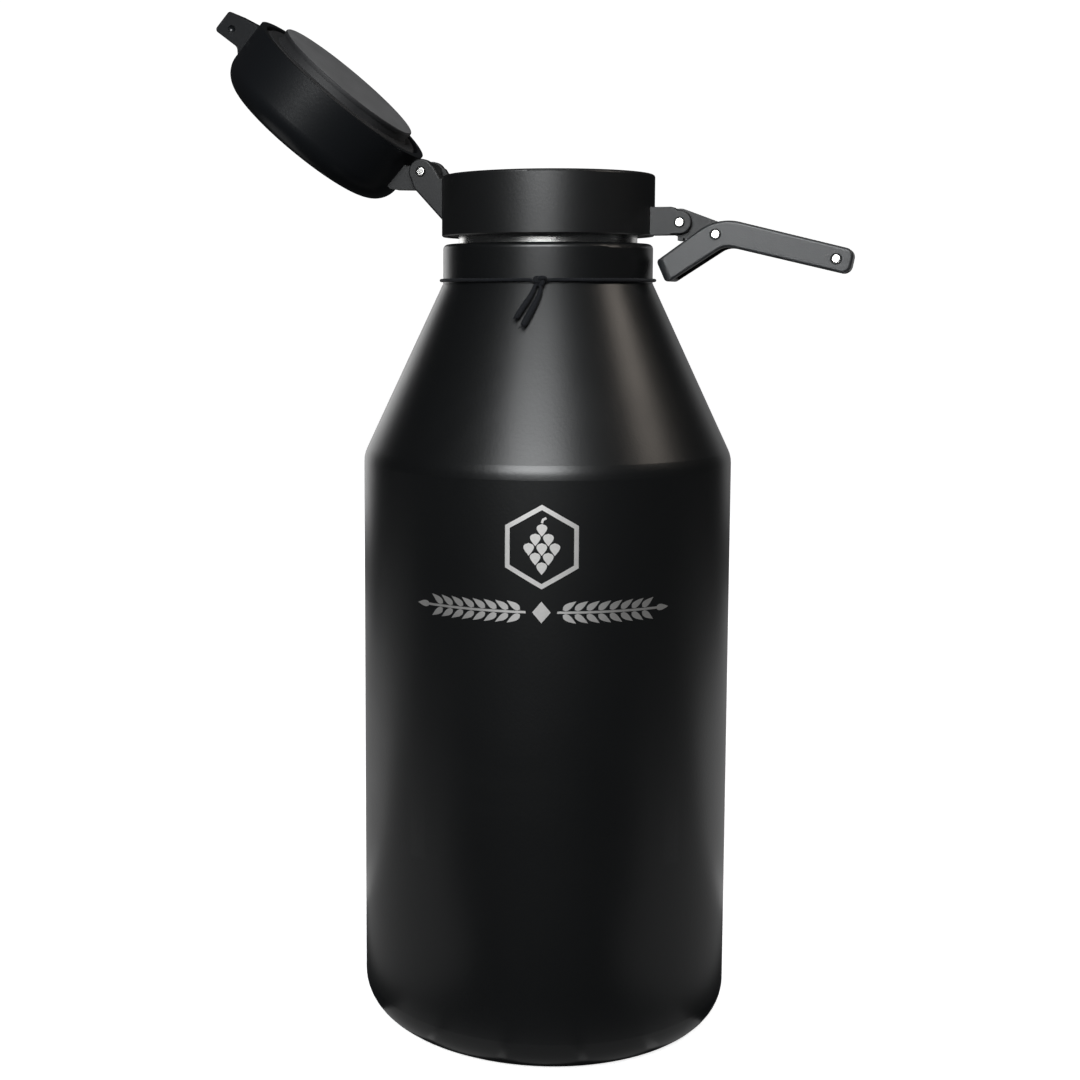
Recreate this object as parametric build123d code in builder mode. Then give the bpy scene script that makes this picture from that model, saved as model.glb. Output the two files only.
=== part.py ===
from build123d import *
import os
from math import sin, cos, tan, radians, degrees, pi, atan2, hypot, sqrt

os.makedirs("parts", exist_ok=True)

# ---------------------------------------------------------------------------
# Insulated 64 fl oz growler with a screw-on collar, a hinged cap and an
# over-centre lever latch.  Millimetres.  Origin at the centre of the foot,
# +Z up, +X from the cap hinge towards the latch.  The cap and the latch are
# modelled open, which is how the object stands at rest.
# ---------------------------------------------------------------------------

# bottle
R_BODY = 59.0          # outside radius of the straight wall
FOOT_FILLET = 10.8     # rounding between wall and foot
SHOULDER_Z = 182.5     # where wall and cone would meet in a sharp corner
SHOULDER_R = 10.0      # rounding of that corner
CONE_DEG = 25.0        # cone, measured from the vertical
R_RING = 33.5          # neck ring
RING_TOP = 249.6
WALL = 0.8
GAP = 3.2              # vacuum space
R_NECK = 28.5          # bare steel neck
BRIM_Z = 266.2
R_MOUTH = 26.8
# screw thread between neck and collar
PITCH = 4.0
THREAD_H = 1.1         # height of the neck's thread
# collar
R_COLLAR = 33.9
COLLAR_BOT = 252.0
COLLAR_TOP = 271.3
R_POUR = 26.5
# cap hinge
HX, HZ = -40.1, 273.0
OPEN_DEG = 138.3
# cap (dimensions in its closed place)
R_CAP = 33.85
CAP_RIM = 271.55
CAP_TOP = 294.3         # top of the cap's low dome
CAP_EDGE = 7.9
R_PLUG = 26.2
PLUG_FACE = 267.93
NOSE_HALF = 5.7
# latch pivots at rest
P1 = (42.73, 255.98)
P2 = (54.15, 252.05)
P3 = (90.26, 244.39)
PIN_R = 1.4
HOLE_R = 1.43          # fixed pin in its hole
BORE_R = 1.46          # running bore
LEVER_IN = 6.2
LEVER_OUT = 8.2
# tie cord
CORD_D = 1.1
TAIL_D = 1.7

T25 = tan(radians(CONE_DEG))
C25 = cos(radians(CONE_DEG))
K = (1 / C25 - 1) / T25


def cone_r(z, t=0.0):
    """Radius of the cone's surface, t inside the outside wall."""
    return R_BODY - t / C25 - T25 * (z - SHOULDER_Z)


def shoulder(t):
    """Start, middle and end of the shoulder rounding, t inside the outside."""
    zc = SHOULDER_Z - K * t
    r = SHOULDER_R - t
    tl = r * tan(radians(CONE_DEG / 2))
    x0 = R_BODY - t
    cx, cz = x0 - r, zc - tl
    h = radians(CONE_DEG / 2)
    return (
        (x0, zc - tl),
        (cx + r * cos(h), cz + r * sin(h)),
        (x0 - tl * sin(radians(CONE_DEG)), zc + tl * C25),
    )


def ring_foot(t):
    """Corner between cone and neck ring, t inside the outside."""
    return (R_RING - t, SHOULDER_Z + (R_BODY - R_RING) / T25 - K * t)


def arc_mid(c, r, a0, a1):
    a = radians((a0 + a1) / 2)
    return (c[0] + r * cos(a), c[1] + r * sin(a))


# --------------------------------------------------------------- outer shell
S0, SM, S1 = shoulder(0)
I0, IM, I1 = shoulder(WALL)
FC = (R_BODY - FOOT_FILLET, FOOT_FILLET)
with BuildPart() as outer_shell:
    with BuildSketch(Plane.XZ) as s:
        with BuildLine():
            Polyline((46.0, 0.0), FC_B := (FC[0], 0.0))
            ThreePointArc(FC_B, arc_mid(FC, FOOT_FILLET, -90, 0), (R_BODY, FC[1]))
            Line((R_BODY, FC[1]), S0)
            ThreePointArc(S0, SM, S1)
            Polyline(S1, ring_foot(0), (R_RING, RING_TOP - 1.6))
            ThreePointArc(
                (R_RING, RING_TOP - 1.6),
                arc_mid((R_RING - 1.6, RING_TOP - 1.6), 1.6, 0, 90),
                (R_RING - 1.6, RING_TOP),
            )
            ThreePointArc((R_RING - 1.6, RING_TOP), (30.2, RING_TOP - 0.62), (R_NECK + 0.05, RING_TOP - 0.3))
            Polyline(
                (R_NECK + 0.05, RING_TOP - 0.3),
                (R_NECK + 0.05, RING_TOP - 1.5),
                (R_RING - WALL - 1.2, RING_TOP - 1.5),
                (R_RING - WALL, RING_TOP - 2.6),
                ring_foot(WALL),
                I1,
            )
            ThreePointArc(I1, IM, I0)
            Line(I0, (R_BODY - WALL, FC[1]))
            ThreePointArc(
                (R_BODY - WALL, FC[1]),
                arc_mid(FC, FOOT_FILLET - WALL, 0, -90),
                (FC[0], WALL),
            )
            Polyline((FC[0], WALL), (46.0, WALL), (46.0, 0.0))
        make_face()
    revolve(axis=Axis.Z)
outer_shell.part.label = "outer_shell"

# flat base welded into the foot, with a dimple in its centre where the vacuum
# space was pumped out and sealed
with BuildPart() as outer_base:
    with BuildSketch(Plane.XZ) as s:
        with BuildLine():
            Polyline(
                (3.0, 2.4), (7.6, 2.4), (9.4, 0.6), (45.95, 0.6), (45.95, 1.4), (9.8, 1.4), (8.0, 3.2),
                (3.0, 3.2), (3.0, 2.4),
            )
        make_face()
    revolve(axis=Axis.Z)
outer_base.part.label = "outer_base"

# the bead of solder glass that closes the pump-out hole
with BuildPart() as vacuum_seal:
    with BuildSketch(Plane.XZ) as s:
        with BuildLine():
            Polyline((0, 1.9), (2.2, 1.9))
            ThreePointArc((2.2, 1.9), (2.75, 2.2), (2.97, 2.7))
            Polyline((2.97, 2.7), (2.97, 3.7), (0, 4.1), (0, 1.9))
        make_face()
    revolve(axis=Axis.Z)
vacuum_seal.part.label = "vacuum_seal"

# thin rubber disc glued to the base; it covers the seal and lies level with
# the foot's rim
with BuildPart() as base_disc:
    with BuildSketch(Plane.XY):
        Circle(41.0)
    extrude(amount=0.55)
    fillet(base_disc.edges().group_by(Axis.Z)[0], 0.2)
base_disc.part.label = "base_disc"

# -------------------------------------------------------------- inner vessel
T_O = WALL + GAP
T_I = T_O + WALL
A0, AM, A1 = shoulder(T_O)
B0, BM, B1 = shoulder(T_I)
IB = 8.6              # lowest point of the inner vessel's wall
FI = 9.0
NECK_O = R_NECK - 0.8 - 0.05
with BuildPart() as inner_vessel:
    with BuildSketch(Plane.XZ) as s:
        with BuildLine():
            ra, rb = R_BODY - T_O, R_BODY - T_I
            fa, fb = ring_foot(T_O), ring_foot(T_I)
            Polyline((NECK_O, BRIM_Z - 0.9), (NECK_O, fa[1] + 5.0), (fa[0], fa[1] + 1.0), fa, A1)
            ThreePointArc(A1, AM, A0)
            Line(A0, (ra, 24.0))
            Polyline((ra, 24.0), (rb, 24.0), B0)
            ThreePointArc(B0, BM, B1)
            Polyline(B1, fb, (fb[0], fb[1] + 0.6), (R_MOUTH, fb[1] + 5.2), (R_MOUTH, BRIM_Z - 0.9), (NECK_O, BRIM_Z - 0.9))
        make_face()
    revolve(axis=Axis.Z)
inner_vessel.part.label = "inner_vessel"

# bottom of the inner vessel, drawn as its own cup and welded in
with BuildPart() as inner_bottom:
    with BuildSketch(Plane.XZ) as s:
        with BuildLine():
            ra, rb = R_BODY - T_O, R_BODY - T_I
            Polyline((0, IB + 1.6), (22.0, IB + 1.6), (30.0, IB), (ra - FI, IB))
            ThreePointArc((ra - FI, IB), arc_mid((ra - FI, IB + FI), FI, -90, 0), (ra, IB + FI))
            Polyline((ra, IB + FI), (ra, 23.98), (rb, 23.98), (rb, IB + FI))
            ThreePointArc((rb, IB + FI), arc_mid((ra - FI, IB + FI), FI - WALL, 0, -90), (ra - FI, IB + WALL))
            Polyline((ra - FI, IB + WALL), (30.1, IB + WALL), (22.1, IB + 1.6 + WALL), (0, IB + 1.6 + WALL), (0, IB + 1.6))
        make_face()
    revolve(axis=Axis.Z)
inner_bottom.part.label = "inner_bottom"

# getter in the vacuum space, clipped under the inner bottom
with BuildPart() as getter:
    with BuildSketch(Plane.XY.offset(6.2)):
        with Locations((17.0, 0)):
            Circle(4.5)
    extrude(amount=2.4)
    fillet(getter.edges(), 0.4)
getter.part.label = "getter"

# ------------------------------------------------------------- threaded neck
with BuildPart() as neck:
    with BuildSketch(Plane.XZ) as s:
        with BuildLine():
            Polyline(
                (NECK_O + 0.05, RING_TOP - 3.5), (R_NECK, RING_TOP - 3.5), (R_NECK, BRIM_Z - 0.9)
            )
            ThreePointArc(
                (R_NECK, BRIM_Z - 0.9),
                ((R_NECK + R_MOUTH) / 2, BRIM_Z),
                (R_MOUTH, BRIM_Z - 0.9),
            )
            Polyline((R_MOUTH, BRIM_Z - 0.9), (R_MOUTH, BRIM_Z - 0.88), (NECK_O + 0.05, BRIM_Z - 0.88), (NECK_O + 0.05, RING_TOP - 3.5))
        make_face()
    revolve(axis=Axis.Z)
NZ0, NT = 254.9, 1.9
neck_helix = Helix(pitch=PITCH, height=PITCH * NT, radius=R_NECK - 0.12, center=(0, 0, NZ0))
with BuildPart() as neck_ridge:
    with BuildSketch(Plane(origin=(R_NECK - 0.12, 0, NZ0), x_dir=(1, 0, 0), z_dir=neck_helix % 0)) as s:
        Polygon((0, -0.95), (THREAD_H + 0.12, -0.45), (THREAD_H + 0.12, 0.45), (0, 0.95), align=None)
    sweep(path=neck_helix, is_frenet=True)
with BuildPart() as threaded_neck:
    add(neck.part)
    add(neck_ridge.part)
threaded_neck.part.label = "threaded_neck"

# -------------------------------------------------------------------- collar
with BuildPart() as collar_sleeve:
    with BuildSketch(Plane.XZ) as s:
        with BuildLine():
            Polyline(
                (R_COLLAR - 1.5, COLLAR_BOT), (R_COLLAR - 0.4, COLLAR_BOT), (R_COLLAR, COLLAR_BOT + 0.4),
                (R_COLLAR, COLLAR_TOP - 0.8),
            )
            ThreePointArc(
                (R_COLLAR, COLLAR_TOP - 0.8),
                arc_mid((R_COLLAR - 0.8, COLLAR_TOP - 0.8), 0.8, 0, 90),
                (R_COLLAR - 0.8, COLLAR_TOP),
            )
            Line((R_COLLAR - 0.8, COLLAR_TOP), (R_POUR + 0.6, COLLAR_TOP))
            ThreePointArc(
                (R_POUR + 0.6, COLLAR_TOP),
                arc_mid((R_POUR + 0.6, COLLAR_TOP - 0.6), 0.6, 90, 180),
                (R_POUR, COLLAR_TOP - 0.6),
            )
            Polyline(
                (R_POUR, COLLAR_TOP - 0.6), (R_POUR, COLLAR_TOP - 1.8),
                (R_COLLAR - 1.5, COLLAR_TOP - 1.8), (R_COLLAR - 1.5, COLLAR_BOT),
            )
        make_face()
    revolve(axis=Axis.Z)
collar_sleeve.part.label = "collar_sleeve"

R_ROOT = R_NECK + THREAD_H + 0.4     # bottom of the collar's thread
LINER_R = R_COLLAR - 1.55
LINER_TOP = COLLAR_TOP - 1.85
FLANGE = LINER_TOP - 1.9
with BuildPart() as liner:
    with BuildSketch(Plane.XZ) as s:
        with BuildLine():
            Polyline(
                (R_ROOT, COLLAR_BOT + 0.5), (LINER_R, COLLAR_BOT + 0.5), (LINER_R, LINER_TOP),
                (R_POUR, LINER_TOP), (R_POUR, FLANGE), (R_ROOT, FLANGE), (R_ROOT, COLLAR_BOT + 0.5),
            )
        make_face()
    revolve(axis=Axis.Z)
LZ0, LT = NZ0 + PITCH / 2, 2.2
liner_helix = Helix(pitch=PITCH, height=PITCH * LT, radius=R_ROOT + 0.12, center=(0, 0, LZ0))
with BuildPart() as liner_ridge:
    with BuildSketch(Plane(origin=(R_ROOT + 0.12, 0, LZ0), x_dir=(1, 0, 0), z_dir=liner_helix % 0)) as s:
        Polygon((0, 0.85), (-THREAD_H - 0.12, 0.4), (-THREAD_H - 0.12, -0.4), (0, -0.85), align=None)
    sweep(path=liner_helix, is_frenet=True)
with BuildPart() as collar_liner:
    add(liner.part)
    add(liner_ridge.part)
collar_liner.part.label = "collar_liner"

# flat silicone ring on the brim; it is pushed into the collar, and goes up
# with it when the collar is unscrewed
with BuildPart() as neck_gasket:
    with BuildSketch(Plane.XY.offset(BRIM_Z + 0.15)):
        Circle(R_ROOT - 0.2)
        Circle(R_POUR + 0.3, mode=Mode.SUBTRACT)
    extrude(amount=FLANGE - BRIM_Z - 0.25)
    fillet(neck_gasket.edges(), 0.2)
neck_gasket.part.label = "neck_gasket"

# ------------------------------------------------------------- hinge bracket
with BuildPart() as collar_cut:
    with BuildSketch(Plane.XY.offset(240)):
        Circle(R_COLLAR + 0.05)
    extrude(amount=60)

BOSS = 4.1
with BuildPart() as hinge_bracket:
    with BuildSketch(Plane.XZ) as s:
        with BuildLine():
            Polyline(
                (-31.0, 255.4), (-42.6, 267.9), (HX - BOSS, HZ), (HX, HZ + BOSS),
                (-35.9, 274.7), (-34.4, 272.2), (-33.6, 270.6), (-31.0, 270.6), (-31.0, 255.4),
            )
        make_face()
        with Locations((HX, HZ)):
            Circle(BOSS)
        fillet(s.vertices().filter_by(lambda v: abs(v.X + 42.6) < 0.01), 2.0)
        fillet(s.vertices().filter_by(lambda v: abs(v.X + 35.9) < 0.01), 1.2)
    extrude(amount=8.3, both=True)
    fillet(
        hinge_bracket.edges().filter_by(lambda e: abs(abs(e.center().Y) - 8.3) < 1e-3 and abs(e.tangent_at(0.5).Y) < 1e-3
                                        and e.center().X < -32.5),
        0.6,
    )
    # room for the cap's arm, above the solid web that stops it
    with BuildSketch(Plane.XZ) as s:
        Polygon((-50, 267.3), (-34.2, 267.3), (-34.2, 280), (-50, 280), align=None)
    extrude(amount=4.9, both=True, mode=Mode.SUBTRACT)
    # hollow between the cheeks, behind the web
    with BuildSketch(Plane.XZ) as s:
        Polygon((-38.6, 265.8), (-34.9, 265.8), (-34.9, 261.6), align=None)
    extrude(amount=4.9, both=True, mode=Mode.SUBTRACT)
    add(collar_cut.part, mode=Mode.SUBTRACT)
    with Locations(Plane((HX, 0, HZ), x_dir=(1, 0, 0), z_dir=(0, -1, 0))):
        Hole(radius=HOLE_R, depth=20)
    chamfer(
        hinge_bracket.edges().filter_by(GeomType.CIRCLE).filter_by(
            lambda e: abs(e.radius - HOLE_R) < 1e-3 and abs(abs(e.center().Y) - 8.3) < 1e-3
        ),
        0.3,
    )
hinge_bracket.part.label = "hinge_bracket"

with BuildPart() as hinge_pin:
    with BuildSketch(Plane.XZ.offset(-8.55)):
        with Locations((HX, HZ)):
            Circle(PIN_R)
    extrude(amount=17.1)
    fillet(hinge_pin.edges(), 0.35)
hinge_pin.part.label = "hinge_pin"

# ------------------------------------------------------------- latch bracket
with BuildPart() as latch_bracket:
    with BuildSketch(Plane.XZ) as s:
        with BuildLine():
            Polyline((31, 252.2), (P1[0], 252.28), (P1[0] + 3.7, P1[1]), (41.3, 260.5), (40.0, 260.8), (31, 260.8), (31, 252.2))
        make_face()
        with Locations(P1):
            Circle(3.7)
    extrude(amount=5.0, both=True)
    with BuildSketch(Plane.XZ) as s:
        with BuildLine():
            Polyline((40.0, 252.25), (P1[0], 252.28), (P1[0] + 3.7, P1[1]), (41.3, 260.5), (40.0, 260.8), (40.0, 252.25))
        make_face()
        with Locations(P1):
            Circle(3.7)
    extrude(amount=5.5, both=True)
    fillet(
        latch_bracket.edges().filter_by(lambda e: abs(abs(e.center().Y) - 5.5) < 1e-3 and abs(e.tangent_at(0.5).Y) < 1e-3
                                        and e.center().X > 40.1),
        0.5,
    )
    with BuildSketch(Plane.XZ) as s:
        with Locations((37.0 + 10, 256)):
            Rectangle(20, 20)
    extrude(amount=3.6, both=True, mode=Mode.SUBTRACT)
    add(collar_cut.part, mode=Mode.SUBTRACT)
    with Locations(Plane((P1[0], 0, P1[1]), x_dir=(1, 0, 0), z_dir=(0, -1, 0))):
        Hole(radius=HOLE_R, depth=20)
    chamfer(
        latch_bracket.edges().filter_by(GeomType.CIRCLE).filter_by(
            lambda e: abs(e.radius - HOLE_R) < 1e-3 and abs(abs(e.center().Y) - 5.5) < 1e-3
        ),
        0.3,
    )
latch_bracket.part.label = "latch_bracket"

with BuildPart() as latch_pin:
    with BuildSketch(Plane.XZ.offset(-5.7)):
        with Locations(P1):
            Circle(PIN_R)
    extrude(amount=11.4)
    fillet(latch_pin.edges(), 0.3)
latch_pin.part.label = "latch_pin"

# ---------------------------------------------------------------- latch link
U12 = (P2[0] - P1[0], P2[1] - P1[1])
L12 = hypot(*U12)
U12 = (U12[0] / L12, U12[1] / L12)
N12 = (-U12[1], U12[0])
RL1, RL2 = 4.3, 3.9
with BuildPart() as latch_link:
    with BuildSketch(Plane.XZ) as s:
        with Locations(P1):
            Circle(RL1)
        with Locations(P2):
            Circle(RL2)
        Polygon(
            (P1[0] + N12[0] * RL1, P1[1] + N12[1] * RL1),
            (P2[0] + N12[0] * RL2, P2[1] + N12[1] * RL2),
            (P2[0] - N12[0] * RL2, P2[1] - N12[1] * RL2),
            (P1[0] - N12[0] * RL1, P1[1] - N12[1] * RL1),
            align=None,
        )
        # stop nub below the barrel
        with Locations((P1[0] + 0.1, P1[1] - 4.2)):
            Rectangle(1.7, 2.8)
    extrude(amount=3.3, both=True)
    with Locations(
        Plane((P1[0], 0, P1[1]), x_dir=(1, 0, 0), z_dir=(0, -1, 0)),
        Plane((P2[0], 0, P2[1]), x_dir=(1, 0, 0), z_dir=(0, -1, 0)),
    ):
        Hole(radius=BORE_R, depth=20)
latch_link.part.label = "latch_link"

with BuildPart() as link_pin:
    with BuildSketch(Plane.XZ.offset(-8.4)):
        with Locations(P2):
            Circle(PIN_R)
    extrude(amount=16.8)
    fillet(link_pin.edges(), 0.35)
link_pin.part.label = "link_pin"

# spacer bushes either side of the link on its pin
with BuildPart() as link_spacers:
    for y0 in (-6.1, 3.42):
        with BuildSketch(Plane.XZ.offset(-y0 - 2.68)):
            with Locations(P2):
                Circle(2.6)
                Circle(HOLE_R, mode=Mode.SUBTRACT)
        extrude(amount=2.68)
link_spacers.part.label = "link_spacers"

# --------------------------------------------------------------- latch lever
AR = atan2(P3[1] - P2[1], P3[0] - P2[0])     # direction of the long arm
AS = radians(-145.3)                         # direction of the short arm


def la(s_, v_):
    """A point s along the long arm from the link pin, and v above it."""
    return (P2[0] + s_ * cos(AR) - v_ * sin(AR), P2[1] + s_ * sin(AR) + v_ * cos(AR))


with BuildPart() as latch_lever:
    with BuildSketch(Plane.XZ) as s:
        with BuildLine():
            FilletPolyline(
                (35.9, 243.95), (54.78, 257.5), (95.65, 247.1), (94.15, 239.5), (57.0, 248.5), (39.04, 236.85),
                radius=[1.5, 15.0, 2.6, 2.6, 6.0, 1.8],
                close=True,
            )
        make_face()
    extrude(amount=LEVER_OUT, both=True)
    fillet(
        latch_lever.edges().filter_by(lambda e: abs(abs(e.center().Y) - LEVER_OUT) < 1e-3 and abs(e.tangent_at(0.5).Y) < 1e-3),
        0.9,
    )
    # the short arm's end has larger rounded corners
    with BuildSketch(Plane(origin=(37.47, 0, 240.4), x_dir=(0.9146, 0, 0.4045), z_dir=(0.4045, 0, -0.9146))) as s:
        for side in (-1, 1):
            with BuildLine():
                Polyline(
                    (0, side * 5.6), (-0.8, side * 5.6), (-0.8, side * 8.9), (2.6, side * 8.9), (2.6, side * LEVER_OUT),
                )
                ThreePointArc(
                    (2.6, side * LEVER_OUT), (2.6 - 2.6 * cos(pi / 4), side * (5.6 + 2.6 * sin(pi / 4))), (0, side * 5.6)
                )
            make_face()
    extrude(amount=9, both=True, mode=Mode.SUBTRACT)
    # long arm and bend: open on both sides round the link and the bracket,
    # a web on the side away from the cap, then the window for the cap's nose
    with BuildSketch(Plane.XZ) as s:
        with BuildLine():
            Polyline(la(-10.4, 9), la(20, 9), la(20, -9), la(-3.4, -9), la(-10.4, -2.2), la(-10.4, 9))
        make_face()
    extrude(amount=LEVER_IN, both=True, mode=Mode.SUBTRACT)
    with BuildSketch(Plane.XZ) as s:
        with BuildLine():
            Polyline(la(19.9, 9), la(30.6, 9), la(30.6, -2.2), la(19.9, -1.9), la(19.9, 9))
        make_face()
    extrude(amount=LEVER_IN, both=True, mode=Mode.SUBTRACT)
    with BuildSketch(Plane.XZ) as s:
        with BuildLine():
            Polyline(la(30.5, 9), la(L23 := hypot(P3[0] - P2[0], P3[1] - P2[1]) + 4.4, 9), la(L23, -9), la(30.5, -9), la(30.5, 9))
        make_face()
    extrude(amount=LEVER_IN, both=True, mode=Mode.SUBTRACT)
    # short arm: a channel open below, closed at its end
    with BuildSketch(Plane.XZ) as s:
        with BuildLine():
            Polyline((46.9, 250.2), (39.3, 244.75), (42.2, 235.0), (56.0, 240.0), (56.0, 249.0), (46.9, 250.2))
        make_face()
    extrude(amount=LEVER_IN, both=True, mode=Mode.SUBTRACT)
    with Locations(
        Plane((P2[0], 0, P2[1]), x_dir=(1, 0, 0), z_dir=(0, -1, 0)),
        Plane((P3[0], 0, P3[1]), x_dir=(1, 0, 0), z_dir=(0, -1, 0)),
    ):
        Hole(radius=HOLE_R, depth=20)
    chamfer(
        latch_lever.edges().filter_by(GeomType.CIRCLE).filter_by(
            lambda e: abs(e.radius - HOLE_R) < 1e-3 and abs(abs(e.center().Y) - LEVER_OUT) < 1e-3
        ),
        0.35,
    )
latch_lever.part.label = "latch_lever"

# two short steel pins in the lever's end; their inner ends click into the
# dimples on the sides of the cap's nose
with BuildPart() as lever_detents:
    for side in (-1, 1):
        with BuildSketch(Plane.XZ.offset(side * 6.05 if side > 0 else -8.4)):
            with Locations(P3):
                Circle(PIN_R)
        extrude(amount=2.35)
    fillet(lever_detents.edges(), 0.35)
lever_detents.part.label = "lever_detents"

# ----------------------------------------------------------------------- cap
# The cap is drawn closed, then turned back about the hinge pin.
RS = 375.0
with BuildPart() as cap_closed:
    with BuildSketch(Plane.XY.offset(CAP_RIM)):
        Circle(R_CAP)
    extrude(amount=40)
    with Locations((0, 0, CAP_TOP - RS)):
        Sphere(RS, mode=Mode.INTERSECT)
    fillet(cap_closed.faces().sort_by(Axis.Z)[-1].edges(), CAP_EDGE)
    # nose that the latch pulls on
    with BuildSketch(Plane.XZ) as s:
        with BuildLine():
            FilletPolyline(
                (30.5, 273.3), (45.9, 277.1), (45.9, 285.1), (36.0, 284.2), (33.4, 286.8), (30.5, 286.8),
                radius=[0.01, 1.2, 1.2, 2.0, 0.01, 0.01],
                close=True,
            )
        make_face()
    extrude(amount=NOSE_HALF, both=True)
    # inside
    with BuildSketch(Plane.XZ) as s:
        with BuildLine():
            Polyline((0, CAP_RIM - 1), (31.6, CAP_RIM - 1), (31.6, 284.6), (25.6, 290.5), (0, 291.5), (0, CAP_RIM - 1))
        make_face()
    revolve(axis=Axis.Z, mode=Mode.SUBTRACT)
    # dimples for the lever's detent pins
    with Locations((41.35, -NOSE_HALF - 0.9, 281.05), (41.35, NOSE_HALF + 0.9, 281.05)):
        Sphere(1.6, mode=Mode.SUBTRACT)

with BuildPart() as arm_closed:
    with BuildSketch(Plane.XZ) as s:
        with BuildLine():
            Polyline(
                (-30.0, 275.3), (-34.6, 275.3), (HX + 3.4, HZ - 1.2), (HX, HZ - 3.7), (HX - 3.7, HZ),
                (-43.9, 276.9), (-34.9, 284.4), (-30.0, 284.4), (-30.0, 275.3),
            )
        make_face()
        with Locations((HX, HZ)):
            Circle(3.7)
    extrude(amount=4.6, both=True)
    fillet(
        arm_closed.edges().filter_by(Axis.Y).filter_by(lambda e: abs(e.center().X + 43.9) < 0.05 or abs(e.center().X + 34.9) < 0.05),
        0.9,
    )
    with BuildSketch(Plane.XY.offset(CAP_RIM - 10)):
        Circle(R_CAP + 0.05)
    extrude(amount=60, mode=Mode.SUBTRACT)
    with Locations(Plane((HX, 0, HZ), x_dir=(1, 0, 0), z_dir=(0, -1, 0))):
        Hole(radius=BORE_R, depth=20)

with BuildPart() as plug_closed:
    with BuildSketch(Plane.XZ) as s:
        with BuildLine():
            Polyline((0, PLUG_FACE), (R_PLUG - 0.6, PLUG_FACE))
            ThreePointArc(
                (R_PLUG - 0.6, PLUG_FACE),
                arc_mid((R_PLUG - 0.6, PLUG_FACE + 0.6), 0.6, -90, 0),
                (R_PLUG, PLUG_FACE + 0.6),
            )
            Polyline(
                (R_PLUG, PLUG_FACE + 0.6), (R_PLUG, PLUG_FACE + 1.3), (24.6, PLUG_FACE + 1.3), (24.6, 274.8),
                (31.4, 274.8), (31.4, 276.4), (23.2, 276.4), (23.2, PLUG_FACE + 1.9), (0, PLUG_FACE + 1.9), (0, PLUG_FACE),
            )
        make_face()
    revolve(axis=Axis.Z)

with BuildPart() as seal_closed:
    with BuildSketch(Plane.XZ) as s:
        with BuildLine():
            Polyline(
                (24.65, PLUG_FACE + 1.35), (R_PLUG - 0.3, PLUG_FACE + 1.35), (R_PLUG - 0.3, 271.6), (26.6, 271.9),
                (29.6, 271.75), (31.3, 273.1), (31.3, 274.7), (24.65, 274.7), (24.65, PLUG_FACE + 1.35),
            )
        make_face()
    revolve(axis=Axis.Z)

with BuildPart() as foam_closed:
    with BuildSketch(Plane.XZ) as s:
        with BuildLine():
            Polyline(
                (0, PLUG_FACE + 2.0), (23.1, PLUG_FACE + 2.0), (23.1, 276.5), (31.3, 276.5), (31.3, 284.4),
                (25.4, 290.3), (0, 291.2), (0, PLUG_FACE + 2.0),
            )
        make_face()
    revolve(axis=Axis.Z)

hinge_axis = Axis((HX, 0, HZ), (0, -1, 0))
opened = {}
for name, closed in (
    ("cap_shell", cap_closed), ("cap_hinge_arm", arm_closed), ("cap_plug", plug_closed),
    ("cap_seal", seal_closed), ("cap_insulation", foam_closed),
):
    piece = closed.part.rotate(hinge_axis, OPEN_DEG)
    piece.label = name
    opened[name] = piece

# ------------------------------------------------------------------ tie cord
# A thin elastic cord drawn tight round the foot of the neck ring, tied in a
# knot at the front, with two short tails down the cone.
KNOT_AZ = -81.1       # bearing of the knot, degrees from +X
CORD_Z = 238.15
KNOT_Z = 237.85
R_LOOP = R_RING + CORD_D / 2 + 0.05
N_LOOP = 18


def around(az, r, z):
    a = radians(az)
    return (r * cos(a), r * sin(a), z)


LOOP_FROM, LOOP_TO = KNOT_AZ + 3.2, KNOT_AZ + 356.8
loop_pts = []
corner = R_LOOP / cos(radians(353.6 / N_LOOP / 2))
loop_pts.append(around(LOOP_FROM, R_LOOP, CORD_Z))
for i in range(N_LOOP):
    az = LOOP_FROM + 353.6 * (i + 0.5) / N_LOOP
    loop_pts.append(around(az, corner, CORD_Z))
loop_pts.append(around(LOOP_TO, R_LOOP, CORD_Z))


def lean(az, z, d):
    """A point just clear of the cone for a cord of diameter d."""
    return around(az, cone_r(z) + (d / 2 + 0.12) / C25, z)


tail_a_pts = [
    around(KNOT_AZ - 2.3, R_RING + 2.2, KNOT_Z - 1.1),
    lean(KNOT_AZ - 3.3, 234.3, TAIL_D),
    lean(KNOT_AZ - 6.6, 230.8, TAIL_D),
    lean(KNOT_AZ - 10.1, 226.7, TAIL_D),
]
tail_b_pts = [
    around(KNOT_AZ + 0.8, R_RING + 2.2, KNOT_Z - 1.1),
    lean(KNOT_AZ - 0.2, 233.5, TAIL_D),
    lean(KNOT_AZ - 3.3, 229.2, TAIL_D),
    lean(KNOT_AZ - 6.6, 224.5, TAIL_D),
]


def radii(pts):
    """Arc for each corner: 0.45 of the shorter run over tan(half the turn)."""
    out = []
    for a, b, c in zip(pts, pts[1:], pts[2:]):
        u = Vector(*b) - Vector(*a)
        w = Vector(*c) - Vector(*b)
        turn = radians(u.get_angle(w))
        out.append(0.45 * min(u.length, w.length) / tan(turn / 2))
    return out


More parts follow.
